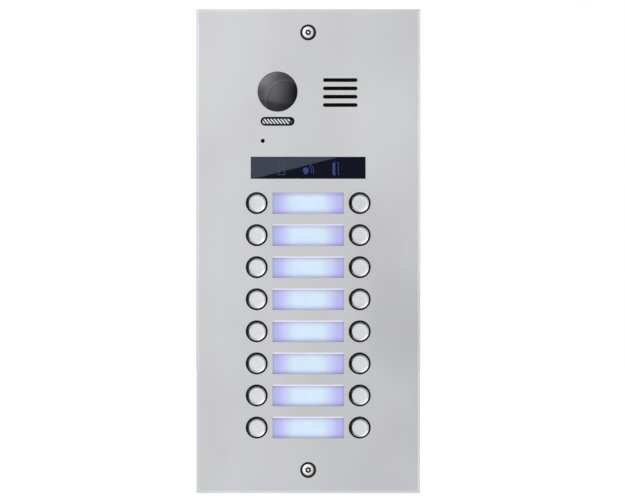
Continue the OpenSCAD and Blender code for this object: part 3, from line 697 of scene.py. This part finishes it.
def make_button_spring(side, sign, row):
    """A round-wire coil between the cap's roof and the guide."""
    x, z = sign * BUTTON_X, ROWS[row - 1]
    wire, mean_r, turns, steps = 0.25, 4.2, 4.5, 24
    start = low_corner("button_springs").y + wire
    end = high_corner("button_springs").y - wire
    path = []
    count = round(turns * steps)
    for i in range(count + 1):
        turn = turns * i / count
        climb = min(max((turn - 0.5) / (turns - 1), 0), 1)
        a = TAU * turn
        path.append((x + mean_r * math.cos(a), start + (end - start) * climb, z + mean_r * math.sin(a)))
    made = shade(tube(f"button_spring_{side}_{row}", path, wire, 8), 60)
    finish_piece(made, SPRING, ROOT, ["button_springs"])
    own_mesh(made)


def lobes(grow=0.0):
    """The outline of a six-lobe recess."""
    mean_r, lobe = 1.8, 0.25
    return lambda a: mean_r + grow + lobe * math.cos(6 * a)


def make_fixing_screws():
    """Two domed tamper-proof screws: six-lobe recess with a pin, neck and thread."""
    low, high = low_corner("fixing_screws"), high_corner("fixing_screws")
    head_r = high.x
    z_out = high.z - head_r
    front, end = low.y, high.y
    head_back = front + 2.2
    floor_y = front + 1.8
    pin_r, core_r, crest_r, pitch = 0.75, 1.55, 2.0, 0.7
    crown = []
    for degrees in range(0, 91, 10):
        a = math.radians(degrees)
        crown.append((2.5 + (head_r - 2.85) * math.sin(a), front + 0.1 + 0.55 * (1 - math.cos(a))))
    for name, sign, turn in (("top", 1, 0.25), ("bottom", -1, 0.7)):
        profile = [
            (0, front + 0.12), (0.6, front + 0.12), (pin_r, front + 0.25), (pin_r, floor_y),
            (lobes(-0.1), floor_y), (lobes(), floor_y - 0.1), (lobes(), front + 0.2),
            (lobes(0.12), front + 0.06), (2.3, front + 0.07), *crown,
            (head_r - 0.1, front + 0.85), (head_r, front + 1.05), (head_r, head_back - 0.1),
            (head_r - 0.1, head_back), (1.62, head_back), (core_r, head_back + 0.2), (core_r, 2.0),
            *thread(core_r, crest_r, pitch, 2.4, end - 1.0), (1.3, end - 0.3), (1.0, end), (0, end),
        ]
        made = shade(turned(f"fixing_screw_{name}", 0, sign * z_out, profile, 96, turn=turn), 38)
        finish_piece(made, SCREW, ROOT, ["fixing_screws"])


def make_camera_dome():
    """The smoked dome over the camera, with its flange behind the plate."""
    low, high = low_corner("camera_window"), high_corner("camera_window")
    flange_r = (high.x - low.x) / 2
    front, back = low.y, high.y
    rim_r, wall, chamfer = 13.0, 1.5, 0.15
    proud = PLATE_FRONT - front
    ball_r = (rim_r ** 2 + proud ** 2) / (2 * proud)
    centre_y = front + ball_r
    edge_angle = math.degrees(math.asin(rim_r / ball_r))
    outer = arc(0, centre_y, ball_r, 0, edge_angle, 28)
    inner = arc(0, centre_y, ball_r - wall, edge_angle * 0.93, 0, 24)
    profile = [
        (0, outer[0][1]), *outer[1:], (rim_r, PLATE_BACK), (flange_r - chamfer, PLATE_BACK),
        (flange_r, PLATE_BACK + chamfer), (flange_r, back), (rim_r - wall, back),
        (rim_r - wall, inner[0][1] + 0.4), *inner[:-1], (0, inner[-1][1]),
    ]
    made = shade(turned("camera_dome", CAMERA.x, CAMERA.z, profile, 128), 40)
    finish_piece(made, DOME, ROOT, ["camera_window"])


def make_camera_lens():
    """The camera's lens, with its convex front."""
    low, high = low_corner("camera_lens"), high_corner("camera_lens")
    lens_r, bulge, bevel = (high.x - low.x) / 2, 0.4, 0.05
    ball_r = (lens_r ** 2 + bulge ** 2) / (2 * bulge)
    edge_angle = math.degrees(math.asin(lens_r / ball_r))
    convex = arc(0, low.y + ball_r, ball_r, 0, edge_angle, 12)
    profile = [(0, low.y), *convex[1:], (lens_r, high.y - bevel), (lens_r - bevel, high.y), (0, high.y)]
    place = middle("camera_lens")
    made = shade(turned("camera_lens_element", place.x, place.z, profile, 64), 40)
    finish_piece(made, FINISHES["lens_glass"], "camera_head", ["camera_lens"])


def make_speaker_cone():
    """The speaker's paper cone: rolled edge, straight flank and sunk dust cap."""
    low, high = low_corner("speaker_cone"), high_corner("speaker_cone")
    cone_r, cap_r, paper = (high.x - low.x) / 2, 4.0, 0.5
    cap_front, cap_depth = 0.6, 1.4
    edge = [(1.4, 0.4), (1.0, 0.15), (0.5, 0.03), (0.0, 0.0)]
    sunk = [(0.0, 1.0), (0.3, 0.93), (0.6, 0.7), (0.85, 0.35), (1.0, 0.0)]
    profile = [(cap_r * u, high.y - cap_front - cap_depth * v) for u, v in sunk]
    profile += [(cone_r - inset, low.y + rise) for inset, rise in edge]
    profile += [(cone_r - inset, low.y + rise + paper) for inset, rise in reversed(edge)]
    profile += [(cap_r * u, high.y - v) for u, v in reversed(sunk)]
    made = shade(turned("speaker_cone_paper", SPEAKER.x, SPEAKER.z, profile, 96), 60)
    finish_piece(made, FINISHES["speaker_cone"], ROOT, ["speaker_cone"])


def make_speaker_mesh():
    """Woven black wire behind the sound slots, in a flat rim."""
    low, high = low_corner("speaker_mesh"), high_corner("speaker_mesh")
    mid_y = (low.y + high.y) / 2
    reach = (high.x - low.x) / 2 - 0.5
    pitch, wire = 1.15, 0.105
    lift = (high.y - low.y) / 2 - wire
    count = int(reach / pitch)
    parts = []
    for i in range(-count, count + 1):
        offset = i * pitch
        steps = int(math.sqrt(reach ** 2 - offset ** 2) / pitch)
        if steps < 1:
            continue
        for upright in (True, False):
            path = []
            for k in range(-steps, steps + 1):
                side = 1 if (i + k) % 2 else -1
                y = mid_y + lift * side * (1 if upright else -1)
                along = k * pitch
                x, z = (offset, along) if upright else (along, offset)
                path.append((SPEAKER.x + x, y, SPEAKER.z + z))
            parts.append(tube("wire", path, wire, 5))
    rim_in, rim_out = reach - 0.6, reach + 0.5
    rim = [(rim_in, low.y), (rim_out, low.y), (rim_out, high.y), (rim_in, high.y)]
    parts.append(turned("rim", SPEAKER.x, SPEAKER.z, rim, 96, closed=True))
    made = shade(join("speaker_mesh_weave", parts), 60)
    finish_piece(made, FINISHES["speaker_mesh"], ROOT, ["speaker_mesh"])


def plaque(name, outline, y, thickness=0.05):
    """A thin flat solid from an outline of (x, z), standing out from y towards the front."""
    count = len(outline)
    front = [(x, y - thickness, z) for x, z in outline]
    back = [(x, y + thickness, z) for x, z in outline]
    faces = [tuple(range(count)), tuple(range(2 * count - 1, count - 1, -1))]
    for k in range(count):
        step = (k + 1) % count
        faces.append((k, step, count + step, count + k))
    return make_object(name, front + back, faces)


def make_status_icons():
    """Generic signs behind the status window: an hourglass, a talking head and an open door."""
    y = low_corner("status_window").y
    line = 0.2

    def stroke(points):
        return tube("stroke", [(x, y, z) for x, z in points], line, 6, flat=0.3)

    x, z = STATUS.x - 17.6, STATUS.z - 0.7
    glass = [
        stroke([(x - 2.3, z + 3.8), (x + 2.3, z + 3.8)]),
        stroke([(x - 2.3, z - 3.8), (x + 2.3, z - 3.8)]),
    ]
    for s in (-1, 1):
        bulb = [(2.1, 3.8), (2.1, 2.6), (1.5, 1.3), (0.45, 0.0), (1.5, -1.3), (2.1, -2.6), (2.1, -3.8)]
        glass.append(stroke([(x + s * dx, z + dz) for dx, dz in bulb]))
    waiting = join("status_icon_wait", glass)
    finish_piece(shade(waiting, 50), ICON_LINE)

    x, z = STATUS.x - 1.6, STATUS.z - 2.2
    head = [(0, -2.6), (1.2, -1.2), (2.0, 0.2), (1.9, 1.4), (1.1, 2.2), (0, 2.4),
            (-1.1, 2.2), (-1.9, 1.4), (-2.0, 0.2), (-1.2, -1.2)]
    talking = plaque("status_icon_talk", [(x + dx, z + dz) for dx, dz in head], y)
    finish_piece(talking, ICON_FILL)
    halo = [(x + 0.7 + 2.0 * dx, z + 1.6 * dz) for dx, dz in head]
    glow = plaque("status_icon_talk_glow", halo, y, 0.025)
    finish_piece(glow, ICON_GLOW)
    waves = []
    for radius in (3.9, 5.3):
        sweep = [math.radians(a) for a in range(-20, 66, 10)]
        waves.append(stroke([(x + radius * math.cos(a), z + radius * math.sin(a)) for a in sweep]))
    finish_piece(shade(join("status_icon_talk_waves", waves), 50), ICON_LINE)

    x, z = STATUS.x + 16.9, STATUS.z - 0.7
    leaf = [(-0.85, -3.7), (1.0, -4.6), (1.0, 4.4), (-0.85, 3.9)]
    door = plaque("status_icon_door", [(x + dx, z + dz) for dx, dz in leaf], y)
    finish_piece(door, ICON_FILL)
    halo = [(x + 2.6 * dx, z + 1.15 * dz) for dx, dz in leaf]
    glow = plaque("status_icon_door_glow", halo, y, 0.025)
    finish_piece(glow, ICON_GLOW)
    jamb = stroke([(x + 1.9, z + 4.2), (x + 3.0, z + 4.2), (x + 3.0, z - 3.8), (x + 3.9, z - 3.8)])
    finish_piece(shade(jamb, 50), ICON_LINE).name = "status_icon_door_frame"


def make_lamp_sensor():
    """The small round light sensor at the right end of the lamp."""
    y = low_corner("lamp_mask").y
    sensor_r, right, down = 0.75, 9.2, 0.5
    profile = [
        (0, y - 0.25), (0.35, y - 0.22), (0.6, y - 0.1),
        (sensor_r, y + 0.05), (sensor_r, y + 0.6), (0, y + 0.6),
    ]
    made = shade(turned("lamp_dusk_sensor", LAMP.x + right, LAMP.z - down, profile, 32), 40)
    finish_piece(made, DOME)


# ---------------------------------------------------------------- pieces on the back

def make_weld_studs():
    """Six copper-flashed M3 studs."""
    low, high = low_corner("weld_studs"), high_corner("weld_studs")
    r, core_r, pitch = 1.5, 1.2, 0.5
    for side, x in (("left", low.x + r), ("right", high.x - r)):
        for place, z in (("bottom", low.z + r), ("middle", 0.0), ("top", high.z - r)):
            profile = [
                (0, low.y), (r, low.y), (r, low.y + 0.2),
                *thread(core_r, r, pitch, low.y + 0.4, high.y - 0.5), (1.0, high.y), (0, high.y),
            ]
            made = shade(turned(f"weld_stud_{side}_{place}", x, z, profile, 40), 60)
            finish_piece(made, COPPER, ROOT, ["weld_studs"])


def make_cover_nuts():
    """Six chamfered hexagon nuts."""
    low, high = low_corner("cover_nuts"), high_corner("cover_nuts")
    flat_r, bore = 2.75, 1.56
    half_w = flat_r / math.cos(math.radians(30))

    def hexagon(limit):
        def radius(a):
            wedge = (a + TAU / 12) % (TAU / 6) - TAU / 12
            return min(limit, flat_r / math.cos(wedge))
        return radius

    corner_turn = TAU / 12
    for side, x in (("left", low.x + half_w), ("right", high.x - half_w)):
        for place, z in (("bottom", low.z + flat_r), ("middle", 0.0), ("top", high.z - flat_r)):
            profile = [
                (bore + 0.15, low.y), (flat_r - 0.1, low.y), (hexagon(flat_r + 0.2), low.y + 0.15),
                (hexagon(half_w), low.y + 0.4), (hexagon(half_w), high.y - 0.4),
                (hexagon(flat_r + 0.2), high.y - 0.15), (flat_r - 0.1, high.y),
                (bore + 0.15, high.y), (bore, high.y - 0.15), (bore, low.y + 0.15),
            ]
            made = turned(f"cover_nut_{side}_{place}", x, z, profile, 96, closed=True, turn=corner_turn)
            finish_piece(shade(made, 25), ZINC, ROOT, ["cover_nuts"])


def make_rear_label():
    """A blank type label on the cover's middle panel."""
    half_w, half_h, corner, centre_z = 10.5, 26.0, 2.0, 20.0
    panel_depth, film_out = 0.8, 0.02
    outline = []
    for cx, cz, start in ((1, 1, 0), (-1, 1, 90), (-1, -1, 180), (1, -1, 270)):
        for i in range(7):
            a = math.radians(start + 15 * i)
            outline.append((
                cx * (half_w - corner) + corner * math.cos(a),
                centre_z + cz * (half_h - corner) + corner * math.sin(a),
            ))
    panel_y = high_corner("rear_cover").y - panel_depth
    made = plaque("rear_blank_label", outline, panel_y + film_out, 0.08)
    film = moulded("silver_polyester_film", (0.55, 0.56, 0.57), 0.35, 700.0, 0.004)
    finish_piece(made, film)


def make_pieces():
    """All pieces that stand for CAD nodes or are added to them."""
    softened("front_plate_satin", "front_plate", 0.15, PLATE)
    softened("rear_cover_moulding", "rear_cover", 0.35, COVER)
    softened("name_windows", "label_windows", 0.35, NAME_WINDOW)
    softened("status_window_pane", "status_window", 0.2, WINDOW)
    softened("screw_seals", "screw_retainers", 0.08, RUBBER)
    softened("microphone_felt", "microphone_capsule", 0.1, FELT)
    softened("lamp_mask_moulding", "lamp_mask", 0.1, BLACK)
    softened("lamp_bars", "lamp_light_guide", 0.08, LAMP_BAR)
    softened("terminal_block_moulding", "terminal_block", 0.15, TERMINAL)
    softened("code_switch_case", "code_switch_body", 0.1, SWITCH_RED)
    softened("volume_trimmer_case", "volume_trimmer_body", 0.15, TRIMMER_BLUE)
    softened("volume_trimmer_knob", "volume_trimmer_rotor", 0.1, NYLON, "volume_knob")
    for i in (1, 2):
        softened(f"code_slider_nub_{i}", f"code_slider_{i}", 0.1, NYLON, f"code_switch_{i}")
    for side, sign in (("left", -1), ("right", 1)):
        for row in range(1, len(ROWS) + 1):
            make_button_cap(side, sign, row)
            make_button_spring(side, sign, row)
    make_fixing_screws()
    make_camera_dome()
    make_camera_lens()
    make_speaker_cone()
    make_speaker_mesh()
    make_status_icons()
    make_lamp_sensor()
    make_weld_studs()
    make_cover_nuts()
    make_rear_label()


# ---------------------------------------------------------------- studio

def make_floor():
    """A plain pale floor that the panel stands on."""
    half = 1.6
    bottom = cad_bounds[0][2]
    mesh = bpy.data.meshes.new("studio_floor")
    corners = [(-half, -half, bottom), (half, -half, bottom), (half, half, bottom), (-half, half, bottom)]
    mesh.from_pydata(corners, [], [(0, 1, 2, 3)])
    floor = bpy.data.objects.new("studio_floor", mesh)
    bpy.context.scene.collection.objects.link(floor)
    made = Finish("studio_floor_paper", roughness=0.9, emission_color=(1, 1, 1), emission_strength=0.45)
    made.put("Base Color", made.ramp(made.noise(30.0), [(0.3, 0.93), (0.7, 0.96)]))
    mesh.materials.append(made.material)
    floor.visible_glossy = False
    floor.visible_diffuse = False
    floor.visible_shadow = False


def make_world():
    """Soft studio light by direction: open in front, a large soft box at the upper left, dark to the
    right and below. The camera itself sees plain white behind the panel."""
    world = bpy.data.worlds.new("studio")
    bpy.context.scene.world = world
    world.use_nodes = True
    tree = world.node_tree
    tree.nodes.clear()

    def node(kind, inputs=(), **settings):
        made = tree.nodes.new(kind)
        for key, value in settings.items():
            setattr(made, key, value)
        for index, value in inputs:
            if isinstance(value, bpy.types.NodeSocket):
                tree.links.new(value, made.inputs[index])
            else:
                made.inputs[index].default_value = value
        return made

    def maths(operation, a, b=0.0):
        return node("ShaderNodeMath", [(0, a), (1, b)], operation=operation).outputs[0]

    def span(value, low, high, to_low=0.0, to_high=1.0, kind="SMOOTHSTEP"):
        made = node(
            "ShaderNodeMapRange", [(0, value), (1, low), (2, high), (3, to_low), (4, to_high)],
            interpolation_type=kind,
        )
        return made.outputs[0]

    direction = node("ShaderNodeTexCoord").outputs["Generated"]
    x, y, z = node("ShaderNodeSeparateXYZ", [(0, direction)]).outputs
    down = maths("MULTIPLY", z, -1.0)
    left = maths("MULTIPLY", x, -1.0)
    below = maths("ADD", down, maths("MULTIPLY", maths("MAXIMUM", left, 0.0), 0.3))
    # open front: falls away evenly to the right, and quickly below
    front = maths("MULTIPLY", span(x, -0.15, 0.93, 1.13, 0.0, "LINEAR"), span(below, 0.5, 0.76, 1.0, 0.4))
    front = maths("MULTIPLY", front, span(z, -0.9, 0.1, 0.55, 1.0, "LINEAR"))
    front = maths("MULTIPLY", front, span(left, 0.6, 0.95, 1.0, 0.45))
    front = maths("MULTIPLY", front, span(z, 0.55, 0.85, 1.0, 0.58))
    # the large soft box at the upper left, brightest along its diagonal
    slant = maths("ADD", maths("MULTIPLY", x, -0.452), maths("MULTIPLY", y, 0.753))
    slant = maths("ADD", slant, maths("MULTIPLY", z, 0.4785))
    diagonal = maths("ADD", maths("MULTIPLY", x, -0.65), maths("MULTIPLY", z, 0.76))
    fold = span(maths("ABSOLUTE", maths("ADD", slant, 0.4)), 0.012, 0.045, 0.62, 1.0)
    box = maths("MULTIPLY", span(slant, -0.365, -0.345), span(diagonal, 0.6, 1.0, 0.12, 0.85))
    frame_line = maths("MULTIPLY", span(slant, -0.375, -0.36), span(slant, -0.335, -0.31, 1.0, 0.0))
    lit_front = maths("ADD", maths("MULTIPLY", front, fold), box)
    lit_front = maths("ADD", lit_front, maths("MULTIPLY", frame_line, 0.3))
    lit_front = maths("MULTIPLY", lit_front, 1.075)
    # behind the panel: even, brighter from above
    rear = span(z, -0.2, 0.9, 0.55, 1.5)
    behind = span(y, 0.1, 0.45)
    level = node("ShaderNodeMix", [(0, behind), (2, lit_front), (3, rear)]).outputs[0]
    # a small dark card beside the camera, which only the flat window mirrors
    ahead = maths("MULTIPLY", y, -1.0)
    u = maths("DIVIDE", x, maths("MAXIMUM", ahead, 0.05))
    v = maths("DIVIDE", z, maths("MAXIMUM", ahead, 0.05))
    edge = maths("SUBTRACT", v, maths("MULTIPLY", u, 0.256))
    under = span(edge, 0.0366, 0.0370, 1.0, 0.0)
    over = span(v, 0.0258, 0.0264)
    within = span(maths("ABSOLUTE", u), 0.036, 0.038, 1.0, 0.0)
    card = maths("MULTIPLY", maths("MULTIPLY", under, over), within)
    facing = span(ahead, 0.5, 0.6)
    shown = maths("SUBTRACT", 1.0, maths("MULTIPLY", maths("MULTIPLY", card, facing), 0.97))
    studio = maths("MULTIPLY", level, shown)
    tone = node("ShaderNodeBackground", [(0, (0.985, 0.99, 1.0, 1)), (1, studio)]).outputs[0]
    white = node("ShaderNodeBackground", [(0, (1, 1, 1, 1)), (1, 1.0)]).outputs[0]
    is_camera = node("ShaderNodeLightPath").outputs["Is Camera Ray"]
    mixed = node("ShaderNodeMixShader", [(0, is_camera), (1, tone), (2, white)]).outputs[0]
    node("ShaderNodeOutputWorld", [(0, mixed)])


def make_edge_lights(plate):
    """Four long strip lights, one beyond each side, that only the plate's bevels catch."""
    edge_lit = bpy.data.collections.new("edge_lit")
    edge_lit.objects.link(plate)
    reach, tilt, width, length = 1.1, math.radians(62), 0.5, 1.4
    strips = {
        "right": ((1, 0), (0, 1), 3.7), "below": ((0, -1), (1, 0), 3.3),
        "left": ((-1, 0), (0, 1), 0.9), "above": ((0, 1), (1, 0), 0.3),
    }
    for side, (across, along, power) in strips.items():
        data = bpy.data.lights.new(f"strip_{side}", "AREA")
        data.shape = "RECTANGLE"
        data.size, data.size_y = width, length
        data.energy = power
        data.color = (0.95, 0.96, 1.0)
        light = bpy.data.objects.new(f"strip_{side}", data)
        toward = Vector((across[0] * math.sin(tilt), -math.cos(tilt), across[1] * math.sin(tilt)))
        long_way = Vector((along[0], 0, along[1]))
        wide_way = long_way.cross(toward)
        light.location = toward * reach
        light.rotation_euler = Matrix((wide_way, long_way, toward)).transposed().to_euler()
        light.light_linking.receiver_collection = edge_lit
        bpy.context.scene.collection.objects.link(light)


def make_camera():
    """Straight on to the plate, moved a little so that the picture sits as the photo does."""
    data = bpy.data.cameras.new("camera")
    data.sensor_width = 36.0
    data.lens = 135.0
    camera = bpy.data.objects.new("camera", data)
    distance, right, up = 1.548, 0.00284, 0.0008
    camera.location = (right, PLATE_FRONT * MM - distance, up)
    camera.rotation_euler = (math.radians(90), 0, 0)
    bpy.context.scene.collection.objects.link(camera)
    bpy.context.scene.camera = camera


make_camera()
finish_cad_nodes()
make_pieces()
make_floor()
make_world()
make_edge_lights(bpy.data.objects["front_plate_satin"])
bpy.context.scene.view_settings.view_transform = "Standard"
